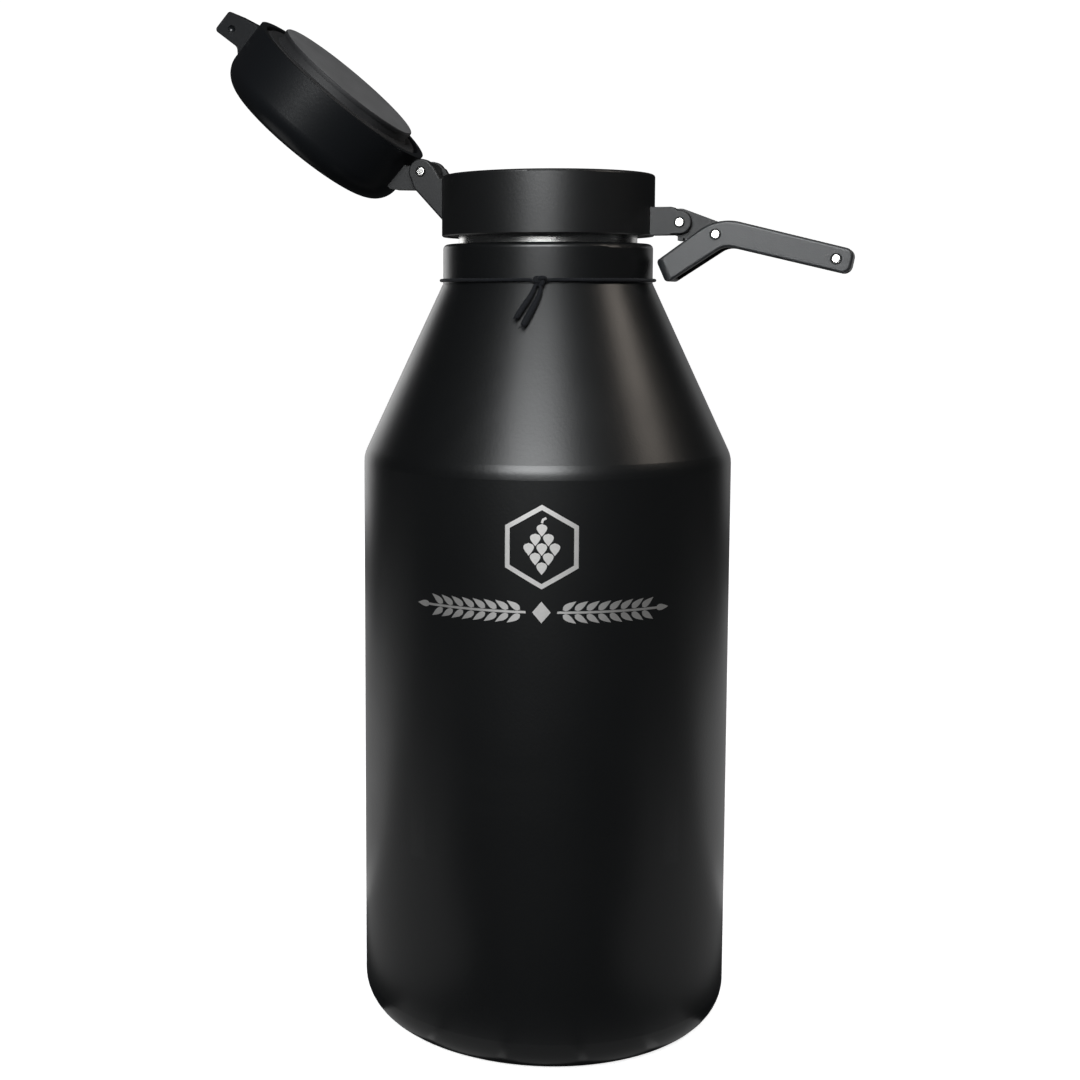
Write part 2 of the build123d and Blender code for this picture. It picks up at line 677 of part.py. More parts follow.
def tube(pts, d, name):
    rr = radii(pts)
    with BuildPart() as t:
        with BuildLine() as ln:
            FilletPolyline(*pts, radius=rr)
        with BuildSketch(Plane(origin=ln.wires()[0] @ 0, z_dir=ln.wires()[0] % 0)):
            Circle(d / 2)
        sweep()
    length = ln.wires()[0].length
    print(name, "length %.1f" % length, "radii", [round(r, 1) for r in rr],
          "volume %.1f of %.1f" % (t.part.volume, pi * d * d / 4 * length))
    t.part.label = name
    return t.part


tie_cord = tube(loop_pts, CORD_D, "tie_cord")
tie_tail_left = tube(tail_a_pts, TAIL_D, "tie_tail_left")
tie_tail_right = tube(tail_b_pts, TAIL_D, "tie_tail_right")

KC = around(KNOT_AZ, R_RING + 1.55, KNOT_Z)
knot_plane = Plane(origin=KC, x_dir=(-sin(radians(KNOT_AZ)), cos(radians(KNOT_AZ)), 0),
                   z_dir=(cos(radians(KNOT_AZ)), sin(radians(KNOT_AZ)), 0))
with BuildPart() as tie_knot:
    with BuildSketch(knot_plane.offset(-1.15)):
        Ellipse(1.7, 1.2)
    with BuildSketch(knot_plane):
        Ellipse(2.15, 1.65)
    with BuildSketch(knot_plane.offset(1.15)):
        Ellipse(1.6, 1.15)
    loft()
tie_knot.part.label = "tie_knot"

# -------------------------------------------------------------------- export
pieces = {
    "outer_shell": outer_shell.part, "outer_base": outer_base.part, "vacuum_seal": vacuum_seal.part,
    "base_disc": base_disc.part, "inner_vessel": inner_vessel.part, "inner_bottom": inner_bottom.part,
    "getter": getter.part, "threaded_neck": threaded_neck.part,
    "collar_sleeve": collar_sleeve.part, "collar_liner": collar_liner.part, "neck_gasket": neck_gasket.part,
    "hinge_bracket": hinge_bracket.part, "hinge_pin": hinge_pin.part,
    "latch_bracket": latch_bracket.part, "latch_pin": latch_pin.part, "latch_link": latch_link.part,
    "link_pin": link_pin.part, "link_spacers": link_spacers.part, "latch_lever": latch_lever.part,
    "lever_detents": lever_detents.part,
    "tie_cord": tie_cord, "tie_knot": tie_knot.part, "tie_tail_left": tie_tail_left,
    "tie_tail_right": tie_tail_right,
}
pieces.update(opened)
for name, shape in pieces.items():
    shape.label = name
    export_step(shape, "parts/" + name + ".step")
    print(name, "solids", len(shape.solids()), "volume %.1f" % shape.volume)
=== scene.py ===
import bpy
import bmesh
import math
import random
from mathutils import Matrix, Vector


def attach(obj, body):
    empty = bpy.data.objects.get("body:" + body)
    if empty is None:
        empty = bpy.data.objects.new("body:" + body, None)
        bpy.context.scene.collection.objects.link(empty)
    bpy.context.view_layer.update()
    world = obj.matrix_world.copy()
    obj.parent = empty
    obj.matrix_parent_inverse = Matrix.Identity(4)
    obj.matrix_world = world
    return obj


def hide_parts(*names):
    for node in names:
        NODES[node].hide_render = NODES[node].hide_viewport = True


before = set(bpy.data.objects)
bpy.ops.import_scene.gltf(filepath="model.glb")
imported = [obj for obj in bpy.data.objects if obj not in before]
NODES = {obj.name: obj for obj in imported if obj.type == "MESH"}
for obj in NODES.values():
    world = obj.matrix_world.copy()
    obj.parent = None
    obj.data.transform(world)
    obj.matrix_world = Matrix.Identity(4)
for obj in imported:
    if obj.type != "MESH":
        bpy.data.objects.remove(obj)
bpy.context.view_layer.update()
MM = 0.001
sin, cos, tan, radians, pi = math.sin, math.cos, math.tan, math.radians, math.pi
random.seed(7)
scene = bpy.context.scene
scene.view_settings.view_transform = "Standard"
scene.view_settings.look = "None"


def link(obj):
    scene.collection.objects.link(obj)
    return obj


# ------------------------------------------------------------------- camera
AIM = (-0.1124, 0.5070)
aim_len = math.hypot(*AIM)
turn, pitch = 0.069, 0.098
hx = (AIM[0] * cos(turn) - AIM[1] * sin(turn)) / aim_len
hy = (AIM[0] * sin(turn) + AIM[1] * cos(turn)) / aim_len
forward = Vector((hx * cos(pitch), hy * cos(pitch), -sin(pitch)))
right = Vector((hy, -hx, 0)).normalized()
up = right.cross(forward)
cam_data = bpy.data.cameras.new("camera")
cam_data.sensor_width = 36.0
cam_data.lens = 53.48
cam_data.shift_x = 0.0963
cam_data.shift_y = -0.0833
cam_data.clip_start = 0.01
cam_data.clip_end = 50
camera = link(bpy.data.objects.new("camera", cam_data))
m = Matrix.Identity(4)
for i in range(3):
    m[i][0], m[i][1], m[i][2] = right[i], up[i], -forward[i]
m[0][3], m[1][3], m[2][3] = 0.1124, -0.5070, 0.2344
camera.matrix_world = m
scene.camera = camera


# ---------------------------------------------------------------- materials
class Mat:
    """A Principled material with helpers for procedural detail in the object's own coordinates."""

    def __init__(self, name):
        self.m = bpy.data.materials.new(name)
        self.m.use_nodes = True
        self.t = self.m.node_tree
        self.t.nodes.clear()
        self.out = self.t.nodes.new("ShaderNodeOutputMaterial")
        self.b = self.t.nodes.new("ShaderNodeBsdfPrincipled")
        self.t.links.new(self.b.outputs[0], self.out.inputs[0])
        self.co = self.t.nodes.new("ShaderNodeTexCoord").outputs["Object"]

    def link(self, a, b):
        self.t.links.new(a, b)

    def scaled(self, sx, sy, sz, vec=None, rot=(0, 0, 0)):
        n = self.t.nodes.new("ShaderNodeMapping")
        n.inputs["Scale"].default_value = (sx, sy, sz)
        n.inputs["Rotation"].default_value = rot
        self.link(vec or self.co, n.inputs["Vector"])
        return n.outputs[0]

    def noise(self, scale, detail=3.0, rough=0.5, vec=None, distortion=0.0):
        n = self.t.nodes.new("ShaderNodeTexNoise")
        n.inputs["Scale"].default_value = scale
        n.inputs["Detail"].default_value = detail
        n.inputs["Roughness"].default_value = rough
        n.inputs["Distortion"].default_value = distortion
        self.link(vec or self.co, n.inputs["Vector"])
        return n.outputs[0]

    def voronoi(self, scale, vec=None, feature="F1"):
        n = self.t.nodes.new("ShaderNodeTexVoronoi")
        n.feature = feature
        n.inputs["Scale"].default_value = scale
        self.link(vec or self.co, n.inputs["Vector"])
        return n.outputs["Distance"]

    def remap(self, v, a, b, c, d):
        n = self.t.nodes.new("ShaderNodeMapRange")
        n.inputs["From Min"].default_value = a
        n.inputs["From Max"].default_value = b
        n.inputs["To Min"].default_value = c
        n.inputs["To Max"].default_value = d
        self.link(v, n.inputs["Value"])
        return n.outputs[0]

    def math(self, op, a, b):
        n = self.t.nodes.new("ShaderNodeMath")
        n.operation = op
        for i, v in enumerate((a, b)):
            if isinstance(v, (int, float)):
                n.inputs[i].default_value = v
            else:
                self.link(v, n.inputs[i])
        return n.outputs[0]

    def ramp(self, v, stops):
        n = self.t.nodes.new("ShaderNodeValToRGB")
        e = n.color_ramp.elements
        while len(e) < len(stops):
            e.new(0.5)
        for i, (p, c) in enumerate(stops):
            e[i].position = p
            e[i].color = (*c, 1)
        self.link(v, n.inputs[0])
        return n.outputs[0]

    def mix(self, fac, a, b, mode="MIX"):
        n = self.t.nodes.new("ShaderNodeMix")
        n.data_type = "RGBA"
        n.blend_type = mode
        for i, v in ((0, fac), (6, a), (7, b)):
            if isinstance(v, (int, float)):
                n.inputs[i].default_value = v
            elif isinstance(v, tuple):
                n.inputs[i].default_value = (*v, 1)
            else:
                self.link(v, n.inputs[i])
        return n.outputs[2]

    def bump(self, height, distance, strength=1.0, normal=None):
        n = self.t.nodes.new("ShaderNodeBump")
        n.inputs["Strength"].default_value = strength
        n.inputs["Distance"].default_value = distance
        self.link(height, n.inputs["Height"])
        if normal is not None:
            self.link(normal, n.inputs["Normal"])
        return n.outputs[0]

    def finish(self, color=None, rough=None, normal=None, **fixed):
        if color is not None:
            self.link(color, self.b.inputs["Base Color"])
        if rough is not None:
            self.link(rough, self.b.inputs["Roughness"])
        if normal is not None:
            self.link(normal, self.b.inputs["Normal"])
        for k, v in fixed.items():
            self.b.inputs[k.replace("_", " ")].default_value = v
        return self.m


def powder_coat(name, dark, light, rough=(0.40, 0.47), peel=0.00003):
    """Satin black powder coat: fine orange peel, faint speckle and handling smudges."""
    k = Mat(name)
    speck = k.noise(2600, 2.0, 0.6)
    cloud = k.noise(28, 4.0, 0.55)
    color = k.ramp(k.math("MULTIPLY_ADD", speck, 0.5), [(0.15, dark), (0.55, light)])
    smudge = k.noise(17, 5.0, 0.6, distortion=0.6)
    r = k.remap(k.math("ADD", k.math("MULTIPLY", smudge, 0.7), k.math("MULTIPLY", speck, 0.3)), 0.3, 0.7, *rough)
    n = k.bump(k.noise(1150, 1.5, 0.45), peel, 0.55)
    n = k.bump(k.noise(3400, 1.0, 0.5), 0.000008, 0.5, n)
    color = k.mix(k.remap(cloud, 0.35, 0.75, 0.0, 0.35), color, light)
    return k.finish(color, r, n, Specular_IOR_Level=0.5)


def steel(name, base, lines=(40, 40, 5200), rough=(0.2, 0.34), depth=0.000006):
    """Turned or brushed stainless steel: fine lines, slight stain, uneven gloss."""
    k = Mat(name)
    fine = k.noise(1.0, 2.0, 0.6, k.scaled(*lines))
    stain = k.noise(60, 4.0, 0.6)
    color = k.mix(k.remap(stain, 0.3, 0.75, 0.0, 0.5), tuple(base), tuple(c * 0.8 for c in base))
    color = k.mix(k.remap(fine, 0.3, 0.7, 0.0, 0.25), color, tuple(c * 0.6 for c in base))
    r = k.remap(k.math("ADD", k.math("MULTIPLY", fine, 0.6), k.math("MULTIPLY", stain, 0.4)), 0.3, 0.7, *rough)
    n = k.bump(fine, depth, 0.6)
    return k.finish(color, r, n, Metallic=1.0)


def moulded(name, dark, light, rough=(0.5, 0.6), grain=900, depth=0.00004, streak=None, **fixed):
    """Moulded or cast surface with spark-eroded grain."""
    k = Mat(name)
    cells = k.voronoi(grain)
    mott = k.noise(120, 4.0, 0.6)
    fine = k.noise(grain * 3, 2.0, 0.6)
    color = k.ramp(k.math("ADD", k.math("MULTIPLY", mott, 0.6), k.math("MULTIPLY", fine, 0.4)), [(0.35, dark), (0.65, light)])
    r = k.remap(k.math("ADD", k.math("MULTIPLY", mott, 0.5), k.math("MULTIPLY", fine, 0.5)), 0.35, 0.65, *rough)
    n = k.bump(cells, depth, 0.5)
    n = k.bump(fine, depth * 0.3, 0.5, n)
    return k.finish(color, r, n, **fixed)


MAT = {}
MAT["shell"] = powder_coat("satin_black_coat", (0.0018, 0.0020, 0.0022), (0.0038, 0.0041, 0.0044), rough=(0.31, 0.37))
# painted highlight: the cap's coat is the shell's coat painted lighter and bluish, a lit copy standing in for the
# highlight on the cap
MAT["cap"] = powder_coat("satin_black_coat_cap_painted_highlight", (0.0026, 0.0030, 0.0036), (0.0050, 0.0056, 0.0066), rough=(0.28, 0.34))
MAT["collar"] = powder_coat("satin_black_coat_collar", (0.0030, 0.0032, 0.0034), (0.0055, 0.0057, 0.0060), rough=(0.34, 0.41))
MAT["bracket"] = moulded("dark_grey_satin_cast", (0.006, 0.0063, 0.0068), (0.010, 0.0104, 0.0112), rough=(0.46, 0.54), grain=1500, depth=0.00002, Specular_IOR_Level=0.4)
# painted light: the lever uses the brackets' cast grey painted lighter, a lit copy standing in for light falling on its
# faces
MAT["lever"] = moulded("lever_grey_cast_painted_lit", (0.015, 0.0158, 0.017), (0.024, 0.025, 0.0265), rough=(0.38, 0.46), grain=1500, depth=0.00002)
MAT["steel"] = steel("turned_stainless", (0.74, 0.73, 0.71))
MAT["vessel"] = steel("drawn_stainless", (0.55, 0.54, 0.53), lines=(30, 30, 1800), rough=(0.28, 0.42))
MAT["pin"] = steel("polished_pin_steel", (0.78, 0.77, 0.75), lines=(1800, 200, 1800), rough=(0.16, 0.3), depth=0.000003)


def plug_material():
    """Grey grained face; its rim is painted near-black as shade where the normal turns away from the face direction
    (0.665, 0, 0.747). The face looks along PLUG_FACE on the open cap.
    """
    k = Mat("grey_plug_plastic")
    cells = k.voronoi(1300)
    mott = k.noise(120, 4.0, 0.6)
    fine = k.noise(3900, 2.0, 0.6)
    grey = k.ramp(k.math("ADD", k.math("MULTIPLY", mott, 0.6), k.math("MULTIPLY", fine, 0.4)), [(0.35, (0.104, 0.105, 0.108)), (0.65, (0.142, 0.143, 0.148))])
    dot = k.t.nodes.new("ShaderNodeVectorMath")
    dot.operation = "DOT_PRODUCT"
    k.link(k.t.nodes.new("ShaderNodeTexCoord").outputs["Normal"], dot.inputs[0])
    dot.inputs[1].default_value = (0.665, 0.0, 0.747)
    # painted shade: faces turned away from the plug's face direction get near-black colour (0.008) in place of their
    # grey
    painted_edge_shade = k.remap(dot.outputs["Value"], 0.80, 0.97, 1.0, 0.0)
    color = k.mix(painted_edge_shade, grey, (0.008, 0.008, 0.009))
    r = k.remap(k.math("ADD", k.math("MULTIPLY", mott, 0.5), k.math("MULTIPLY", fine, 0.5)), 0.35, 0.65, 0.58, 0.68)
    n = k.bump(cells, 0.00003, 0.5)
    n = k.bump(fine, 0.00001, 0.5, n)
    return k.finish(color, r, n)


MAT["plug"] = plug_material()
MAT["silicone"] = moulded("black_silicone", (0.010, 0.010, 0.011), (0.018, 0.018, 0.019), rough=(0.52, 0.64), grain=2200, depth=0.00001)
MAT["rubber"] = moulded("black_rubber_pad", (0.012, 0.012, 0.012), (0.022, 0.022, 0.022), rough=(0.7, 0.85), grain=700, depth=0.00005)
MAT["liner"] = moulded("black_liner_plastic", (0.010, 0.010, 0.011), (0.018, 0.018, 0.019), rough=(0.4, 0.52), grain=1400, depth=0.00001)
MAT["foam"] = moulded("cream_foam", (0.55, 0.50, 0.38), (0.72, 0.68, 0.55), rough=(0.85, 0.95), grain=600, depth=0.0002)
MAT["seal"] = moulded("solder_glass_bead", (0.03, 0.035, 0.035), (0.08, 0.085, 0.08), rough=(0.12, 0.25), grain=300, depth=0.00002)
MAT["getter"] = steel("sintered_getter", (0.3, 0.3, 0.3), lines=(900, 900, 900), rough=(0.5, 0.7), depth=0.00003)


def cord_material():
    k = Mat("braided_elastic")
    uv = k.t.nodes.new("ShaderNodeTexCoord").outputs["UV"]
    weave = k.noise(1.0, 1.0, 0.5, k.scaled(5, 5, 1, uv))
    fuzz = k.noise(5200, 2.0, 0.6)
    color = k.ramp(k.math("ADD", k.math("MULTIPLY", weave, 0.5), k.math("MULTIPLY", fuzz, 0.5)), [(0.35, (0.003, 0.0033, 0.004)), (0.65, (0.011, 0.012, 0.015))])
    r = k.remap(fuzz, 0.3, 0.7, 0.78, 0.92)
    n = k.bump(fuzz, 0.00003, 0.7)
    return k.finish(color, r, n, Sheen_Weight=0.06, Sheen_Roughness=0.4, Specular_IOR_Level=0.16)


MAT["cord"] = cord_material()
MAT["etch"] = steel("etched_steel_mark", (0.95, 0.93, 0.91), lines=(900, 900, 900), rough=(0.40, 0.48), depth=0.000006)

USE = {
    "outer_shell": "shell", "outer_base": "shell", "vacuum_seal": "seal", "base_disc": "rubber",
    "inner_vessel": "vessel", "inner_bottom": "vessel", "getter": "getter", "threaded_neck": "steel",
    "collar_sleeve": "collar", "collar_liner": "liner", "neck_gasket": "silicone",
    "hinge_bracket": "bracket", "hinge_pin": "pin", "latch_bracket": "bracket", "latch_pin": "pin",
    "latch_link": "bracket", "link_pin": "pin", "link_spacers": "pin", "latch_lever": "lever",
    "lever_detents": "pin", "tie_cord": "cord", "tie_knot": "cord", "tie_tail_left": "cord", "tie_tail_right": "cord",
    "cap_shell": "cap", "cap_hinge_arm": "bracket", "cap_plug": "plug", "cap_seal": "silicone", "cap_insulation": "foam",
}
for name, obj in NODES.items():
    obj.data.materials.clear()
    obj.data.materials.append(MAT[USE[name]])


# ------------------------------------------------------------------ tie cord
R_BODY, SHOULDER_Z, CONE_DEG, R_RING = 59.0, 182.5, 25.0, 33.5
CORD_D, TAIL_D = 1.1, 2.2
KNOT_AZ, CORD_Z, KNOT_Z = -81.1, 238.15, 237.85
R_LOOP = R_RING + CORD_D / 2 + 0.05
N_LOOP = 18
T25, C25 = tan(radians(CONE_DEG)), cos(radians(CONE_DEG))


def around(az, r, z):
    a = radians(az)
    return Vector((r * cos(a), r * sin(a), z)) * MM


def lean(az, z, d):
    return around(az, R_BODY - T25 * (z - SHOULDER_Z) + (d / 2 + 0.12) / C25, z)


LOOP_FROM, LOOP_TO = KNOT_AZ + 3.2, KNOT_AZ + 356.8
corner = R_LOOP / cos(radians(353.6 / N_LOOP / 2))
loop_pts = [around(LOOP_FROM, R_LOOP, CORD_Z)]
for i in range(N_LOOP):
    loop_pts.append(around(LOOP_FROM + 353.6 * (i + 0.5) / N_LOOP, corner, CORD_Z))
loop_pts.append(around(LOOP_TO, R_LOOP, CORD_Z))
tail_a_pts = [
    around(KNOT_AZ - 2.3, R_RING + 2.2, KNOT_Z - 1.1),
    lean(KNOT_AZ - 3.3, 234.3, TAIL_D),
    lean(KNOT_AZ - 6.6, 230.8, TAIL_D),
    lean(KNOT_AZ - 10.1, 226.7, TAIL_D),
]
tail_b_pts = [
    around(KNOT_AZ + 0.8, R_RING + 2.2, KNOT_Z - 1.1),
    lean(KNOT_AZ - 0.2, 233.5, TAIL_D),
    lean(KNOT_AZ - 3.3, 229.2, TAIL_D),
    lean(KNOT_AZ - 6.6, 224.5, TAIL_D),
]
route = list(reversed(tail_a_pts)) + loop_pts + tail_b_pts


def nurbs_line(points, resolution=24):
    """Points along an open NURBS spline of order 3 through the route."""
    c = bpy.data.curves.new("route", "CURVE")
    c.dimensions = "3D"
    s = c.splines.new("NURBS")
    s.points.add(len(points) - 1)
    for q, p in zip(s.points, points):
        q.co = (*p, 1)
    s.order_u = 3
    s.use_endpoint_u = True
    s.resolution_u = resolution
    o = bpy.data.objects.new("route", c)
    link(o)
    bpy.context.view_layer.update()
    me = bpy.data.meshes.new_from_object(o)
    pts = [v.co.copy() for v in me.vertices]
    bpy.data.objects.remove(o)
    bpy.data.meshes.remove(me)
    bpy.data.curves.remove(c)
    return pts


def resample(pts, step):
    out, carry = [pts[0].copy()], 0.0
    for a, b in zip(pts, pts[1:]):
        seg = (b - a).length
        while carry + seg >= step:
            t = (step - carry) / seg
            a = a.lerp(b, t)
            out.append(a.copy())
            seg = (b - a).length
            carry = 0.0
        carry += seg
    if (out[-1] - pts[-1]).length > step * 0.3:
        out.append(pts[-1].copy())
    return out


def sweep_tube(bm, uv, pts, radius, sides=16, bumps=None, caps=True, closed=False):
    """Tube of quads along pts. radius(s, a) is in metres at distance s and angle a."""
    n = len(pts)
    dist = [0.0]
    for a, b in zip(pts, pts[1:]):
        dist.append(dist[-1] + (b - a).length)
    rings, nrm = [], None
    for i, p in enumerate(pts):
        if closed:
            t = (pts[(i + 1) % n] - pts[i - 1]).normalized()
        else:
            t = (pts[min(i + 1, n - 1)] - pts[max(i - 1, 0)]).normalized()
        if nrm is None:
            nrm = t.cross(Vector((0, 0, 1)) if abs(t.z) < 0.9 else Vector((1, 0, 0))).normalized()
        nrm = (nrm - t * nrm.dot(t)).normalized()
        bi = t.cross(nrm)
        ring = []
        for j in range(sides):
            a = 2 * pi * j / sides
            r = radius(dist[i], a)
            ring.append(bm.verts.new(p + nrm * (r * cos(a)) + bi * (r * sin(a))))
        rings.append(ring)
    pairs = list(zip(range(n - 1), range(1, n)))
    if closed:
        pairs.append((n - 1, 0))
    for i0, i1 in pairs:
        for j in range(sides):
            j1 = (j + 1) % sides
            f = bm.faces.new((rings[i0][j], rings[i0][j1], rings[i1][j1], rings[i1][j]))
            f.smooth = True
            for lp, (ii, jj) in zip(f.loops, ((i0, j), (i0, j + 1), (i1, j + 1), (i1, j))):
                lp[uv].uv = (dist[ii] * 1000, jj / sides * 4)
    if caps and not closed:
        for ring, flip in ((rings[0], True), (rings[-1], False)):
            c = bm.verts.new(sum((v.co for v in ring), Vector()) / sides)
            for j in range(sides):
                a, b = ring[j], ring[(j + 1) % sides]
                f = bm.faces.new((c, b, a) if flip else (c, a, b))
                f.smooth = True
    return rings


def mesh_object(name, bm, mat):
    bmesh.ops.recalc_face_normals(bm, faces=bm.faces)
    me = bpy.data.meshes.new(name)
    bm.to_mesh(me)
    bm.free()
    o = link(bpy.data.objects.new(name, me))
    me.materials.append(mat)
    return o


line = nurbs_line(route)
path = resample(line, 0.00022)
total = sum((b - a).length for a, b in zip(path, path[1:]))
TAIL_LEN = 0.0135


def cord_radius(s, a):
    e = min(s, total - s)
    w = min(max((TAIL_LEN - e) / TAIL_LEN, 0.0), 1.0)
    end = 1.06 if s * 2 > total else 0.92
    r = 0.55 + (end - 0.55) * min(w * 1.7, 1.0) ** 0.8
    if e < 0.0011:
        r *= 0.72 + 0.28 * (e / 0.0011) ** 0.5
    k = s * 1000 * 3.4
    braid = max(sin(3 * a + k), sin(-3 * a + k + 0.7))
    return (r - 0.035 + 0.05 * r * braid) * MM


bm = bmesh.new()
uv = bm.loops.layers.uv.new("UVMap")
sweep_tube(bm, uv, path, cord_radius, sides=18)
for end, inner in ((path[0], path[5]), (path[-1], path[-6])):
    d = (end - inner).normalized()
    out = Vector((end.x, end.y, 0)).normalized()
    side = d.cross(out).normalized()
    for i in range(15):
        a = 2 * pi * i / 15 + random.uniform(-0.2, 0.2)
        rr = random.uniform(0.15, 0.8) * MM
        base = end - d * 0.3 * MM + side * rr * cos(a) + out * rr * sin(a)
        ln = random.uniform(0.9, 1.9) * MM
        spread = side * cos(a) * 0.25 + out * abs(sin(a)) * 0.15
        pts = []
        for q in range(6):
            t = q / 5
            pts.append(base + (d + spread * t) * ln * t + side * sin(t * 5 + i) * 0.05 * MM)
        sweep_tube(bm, uv, pts, lambda s, a_, ln=ln: 0.07 * MM * (1 - 0.5 * s / ln), sides=5)
tie = mesh_object("tie_cord_braided", bm, MAT["cord"])
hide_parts("tie_cord", "tie_tail_left", "tie_tail_right")
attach(tie, "bottle")

# the knot: the cord's two strands wound through each other and pulled tight
bm = bmesh.new()
uv = bm.loops.layers.uv.new("UVMap")
kc = around(KNOT_AZ, R_RING + 1.55, KNOT_Z)
ka = radians(KNOT_AZ)
kx, ky, kz = Vector((-sin(ka), cos(ka), 0)), Vector((0, 0, 1)), Vector((cos(ka), sin(ka), 0))
pts = []
for i in range(160):
    t = 2 * pi * i / 160
    x = (sin(t) + 2 * sin(2 * t)) / 2.95
    y = (cos(t) - 2 * cos(2 * t)) / 2.95
    z = -sin(3 * t)
    pts.append(kc + kx * (1.70 * MM * x) + ky * (1.25 * MM * y) + kz * ((0.62 * z + 0.12) * MM))
sweep_tube(bm, uv, pts, lambda s, a: (0.66 + 0.03 * max(sin(3 * a + s * 3400), sin(-3 * a + s * 3400))) * MM, sides=14, closed=True)
knot = mesh_object("tie_knot_overhand", bm, MAT["cord"])
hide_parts("tie_knot")
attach(knot, "bottle")

# -------------------------------------------------------------- etched mark
MARK_AZ, MARK_R = -78.6, 59.0


def polygon_patch(bm, pts):
    vs = [bm.verts.new((x, y, 0)) for x, y in pts]
    bm.faces.new(vs)


def band(bm, pts, width, closed=False):
    """A flat strip of even width along pts, mitred at the corners."""
    n = len(pts)
    left, rightp = [], []
    for i in range(n):
        p = Vector(pts[i])
        a = Vector(pts[i - 1]) if (i > 0 or closed) else None
        b = Vector(pts[(i + 1) % n]) if (i < n - 1 or closed) else None
        d0 = (p - a).normalized() if a is not None else (b - p).normalized()
        d1 = (b - p).normalized() if b is not None else d0
        n0, n1 = Vector((-d0.y, d0.x)), Vector((-d1.y, d1.x))
        mit = (n0 + n1).normalized()
        w = width / 2 / max(mit.dot(n0), 0.3)
        left.append(bm.verts.new((*(p + mit * w), 0)))
        rightp.append(bm.verts.new((*(p - mit * w), 0)))
    for i in range(n if closed else n - 1):
        j = (i + 1) % n
        bm.faces.new((left[i], rightp[i], rightp[j], left[j]))


def leaf(cx, cy, w, h, turn=0.0):
    """A scale or grain, round at one end and pointed at the other; turned by an angle in radians."""
    half = []
    for i in range(11):
        t = i / 10
        half.append((w / 2 * sin(pi * t ** 0.62), h / 2 - h * t))
    ring = [(-x, y) for x, y in half] + [(x, y) for x, y in reversed(half[1:-1])]
    ct, st = cos(turn), sin(turn)
    return [(cx + x * ct - y * st, cy + x * st + y * ct) for x, y in ring]


bm = bmesh.new()
HEX = 11.6
band(bm, [(HEX * sin(i * pi / 3), HEX * cos(i * pi / 3)) for i in range(6)], 1.35, closed=True)
rows = [(1, 4.9), (2, 2.1), (3, -0.7), (2, -3.5), (1, -6.3)]
for count, y in rows:
    for i in range(count):
        polygon_patch(bm, leaf((i - (count - 1) / 2) * 3.8, y, 3.1, 3.7))
band(bm, [(0.0, 7.0), (0.3, 8.0), (1.3, 8.5)], 0.7)
GARLAND = -19.2
for s in (-1, 1):
    band(bm, [(s * 4.6, GARLAND), (s * 36.0, GARLAND)], 0.7)
    for i in range(8):
        x = s * (8.2 + 3.5 * i)
        for v in (-1, 1):
            way = v * 33 if s > 0 else 180 - v * 33
            polygon_patch(bm, leaf(x, GARLAND + v * 2.0, 1.9, 4.7, radians(90 + way)))
    polygon_patch(bm, leaf(s * 38.0, GARLAND, 1.9, 4.6, radians(90 * s)))
polygon_patch(bm, [(0, GARLAND + 3.2), (2.7, GARLAND), (0, GARLAND - 3.2), (-2.7, GARLAND)])
bmesh.ops.triangulate(bm, faces=bm.faces)
for _ in range(6):
    long_edges = [e for e in bm.edges if e.calc_length() > 1.4]
    if not long_edges:
        break
    bmesh.ops.subdivide_edges(bm, edges=long_edges, cuts=1)
    bmesh.ops.triangulate(bm, faces=bm.faces)
MARK_Z = 161.0
top = {}
for v in list(bm.verts):
    a = radians(MARK_AZ) + v.co.x / MARK_R
    top[v] = (a, (MARK_Z + v.co.y) * MM)
solid = bmesh.new()
outer, inner_v = {}, {}
for v, (a, z) in top.items():
    for store, r in ((outer, MARK_R + 0.035), (inner_v, MARK_R - 0.06)):
        store[v] = solid.verts.new((r * MM * cos(a), r * MM * sin(a), z))
for f in bm.faces:
    solid.faces.new([outer[v] for v in f.verts])
    solid.faces.new([inner_v[v] for v in reversed(f.verts)])
for e in bm.edges:
    if len(e.link_faces) == 1:
        a, b = e.verts
        solid.faces.new((outer[a], outer[b], inner_v[b], inner_v[a]))
bm.free()
mark = mesh_object("etched_mark", solid, MAT["etch"])
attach(mark, "bottle")


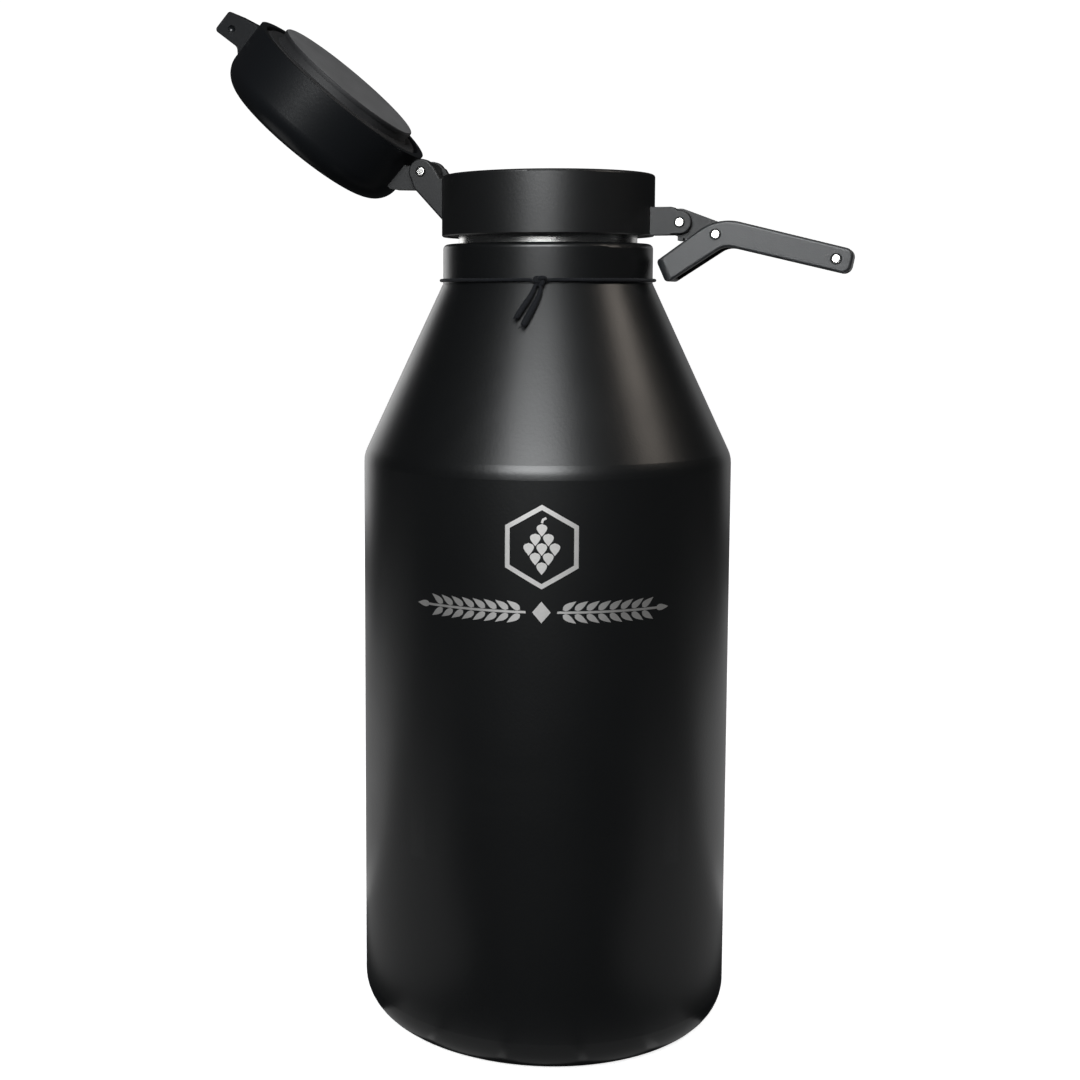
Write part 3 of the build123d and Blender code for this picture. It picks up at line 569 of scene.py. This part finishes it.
# --------------------------------------------------------------------- stage
def stage_bowl():
    """Pale glowing floor that curves up into a surround, so no horizon shows; it glows less near the middle as a
    painted shadow.
    """
    prof = [(0.0, 0.0), (0.12, 0.0), (0.3, 0.0), (0.8, 0.0), (1.6, 0.0), (2.2, 0.0)]
    for i in range(1, 13):
        a = pi / 2 * i / 12
        prof.append((2.2 + 1.2 * sin(a), 1.2 - 1.2 * cos(a)))
    prof += [(3.4, 2.4), (3.4, 4.2)]
    n = 96
    b = bmesh.new()
    rings = []
    for r, z in prof[1:]:
        rings.append([b.verts.new((r * cos(2 * pi * j / n), r * sin(2 * pi * j / n), z - 0.0002)) for j in range(n)])
    c = b.verts.new((0, 0, -0.0002))
    for j in range(n):
        b.faces.new((c, rings[0][j], rings[0][(j + 1) % n])).smooth = True
    for a, d in zip(rings, rings[1:]):
        for j in range(n):
            b.faces.new((a[j], d[j], d[(j + 1) % n], a[(j + 1) % n])).smooth = True
    k = Mat("pale_floor")
    grain = k.noise(7, 4.0, 0.6)
    color = k.ramp(grain, [(0.3, (0.80, 0.80, 0.80)), (0.7, (0.84, 0.84, 0.84))])
    painted_shadow_radius = k.t.nodes.new("ShaderNodeVectorMath")
    painted_shadow_radius.operation = "LENGTH"
    k.link(k.co, painted_shadow_radius.inputs[0])
    # painted shadow: emission is 0.84 near the middle and rises to 0.985 by 0.7 m out, a soft shadow round the bottle's
    # foot
    k.link(k.remap(painted_shadow_radius.outputs["Value"], 0.1, 0.7, 0.84, 0.985), k.b.inputs["Emission Strength"])
    k.finish(color, None, None, Roughness=0.9, Emission_Color=(1, 1, 1, 1))
    o = mesh_object("floor", b, k.m)
    o.visible_glossy = False
    o.visible_diffuse = False
    o.visible_transmission = False


stage_bowl()

# -------------------------------------------------------------------- lights
world = bpy.data.worlds.new("world")
scene.world = world
world.use_nodes = True
world.node_tree.nodes["Background"].inputs[0].default_value = (0.9, 0.95, 1.0, 1)
world.node_tree.nodes["Background"].inputs[1].default_value = 0.02


def area(name, az, el, dist, size, power, color=(1, 1, 1), target=(0, 0, 0.2), spread=None):
    """Area light seen from the target at bearing az and elevation el, in degrees."""
    d = Vector((cos(radians(el)) * cos(radians(az)), cos(radians(el)) * sin(radians(az)), sin(radians(el))))
    l = bpy.data.lights.new(name, "AREA")
    l.shape = "RECTANGLE"
    l.size, l.size_y = size
    l.energy = power
    l.color = color
    if spread:
        l.spread = radians(spread)
    o = link(bpy.data.objects.new(name, l))
    o.location = Vector(target) + d * dist
    o.rotation_euler = d.to_track_quat("Z", "Y").to_euler()
    o.visible_camera = False
    return o


CAM_AZ = -77.5


def floor_glow(name, az, dist, size, radiance, color=(1, 1, 1)):
    """Light that lies on the floor and faces up, as a white table top does in reflections."""
    l = bpy.data.lights.new(name, "AREA")
    l.shape = "RECTANGLE"
    l.size, l.size_y = size
    l.energy = radiance * pi * size[0] * size[1]
    l.color = color
    o = link(bpy.data.objects.new(name, l))
    a = radians(az)
    o.location = (dist * cos(a), dist * sin(a), 0.002)
    o.rotation_euler = (pi, 0, a)
    o.visible_camera = False
    return o


def only_on(lamp, names, skip=False):
    """Light linking: the lamp lights only these pieces, or all but these."""
    c = bpy.data.collections.new(lamp.name + "_receivers")
    for n in names:
        c.objects.link(NODES[n])
    lamp.light_linking.receiver_collection = c
    if skip:
        for n in c.collection_objects:
            n.light_linking.link_state = "EXCLUDE"


area("key_high", CAM_AZ - 8, 31, 0.9, (0.52, 0.35), 6.8, (0.97, 0.99, 1.0))
area("key_low", CAM_AZ - 8, 20, 0.9, (0.5, 0.3), 3.6, (0.97, 0.99, 1.0))
area("high_right", CAM_AZ + 80, 36, 1.1, (0.34, 0.2), 1.5, (1.0, 0.9, 0.8))
latch = area("latch_fill", -102.5, 1, 1.0, (0.2, 0.16), 0.026, (0.97, 0.99, 1.0), target=(0.08, 0, 0.255), spread=18)
only_on(latch, ["latch_lever", "latch_bracket", "latch_link", "link_pin", "latch_pin", "hinge_pin", "lever_detents"])
area("top", CAM_AZ + 20, 86, 1.5, (0.5, 0.5), 2.2)
only_on(floor_glow("table_near_left", CAM_AZ - 84, 0.17, (0.18, 0.22), 0.3), ["cap_shell"], skip=True)
floor_glow("table_near_right", CAM_AZ + 84, 0.17, (0.18, 0.22), 0.25)
only_on(floor_glow("table_left", CAM_AZ - 90, 0.3, (0.2, 0.4), 0.2), ["cap_shell"], skip=True)
floor_glow("table_right", CAM_AZ + 90, 0.3, (0.2, 0.4), 0.14)
floor_glow("table_far_left", CAM_AZ - 105, 0.55, (0.4, 0.4), 0.3)
floor_glow("table_far_right", CAM_AZ + 105, 0.55, (0.4, 0.4), 0.12)
only_on(floor_glow("table_behind", CAM_AZ + 180, 0.37, (0.6, 0.9), 0.44), ["cap_shell"], skip=True)
for k, (az, glow) in enumerate(((-52, 0.34), (-26, 0.30), (0, 0.2), (26, 0.22), (50, 0.30))):
    floor_glow("table_foot_%d" % k, CAM_AZ + az, 0.0665, (0.022, 0.029), glow)
only_on(area("back_left", CAM_AZ - 150, 3, 1.1, (0.5, 0.5), 1.3), ["cap_shell", "collar_sleeve", "cap_hinge_arm", "hinge_bracket"], skip=True)
only_on(area("back_right", CAM_AZ + 150, 3, 1.1, (0.5, 0.5), 0.35), ["cap_shell", "collar_sleeve"], skip=True)
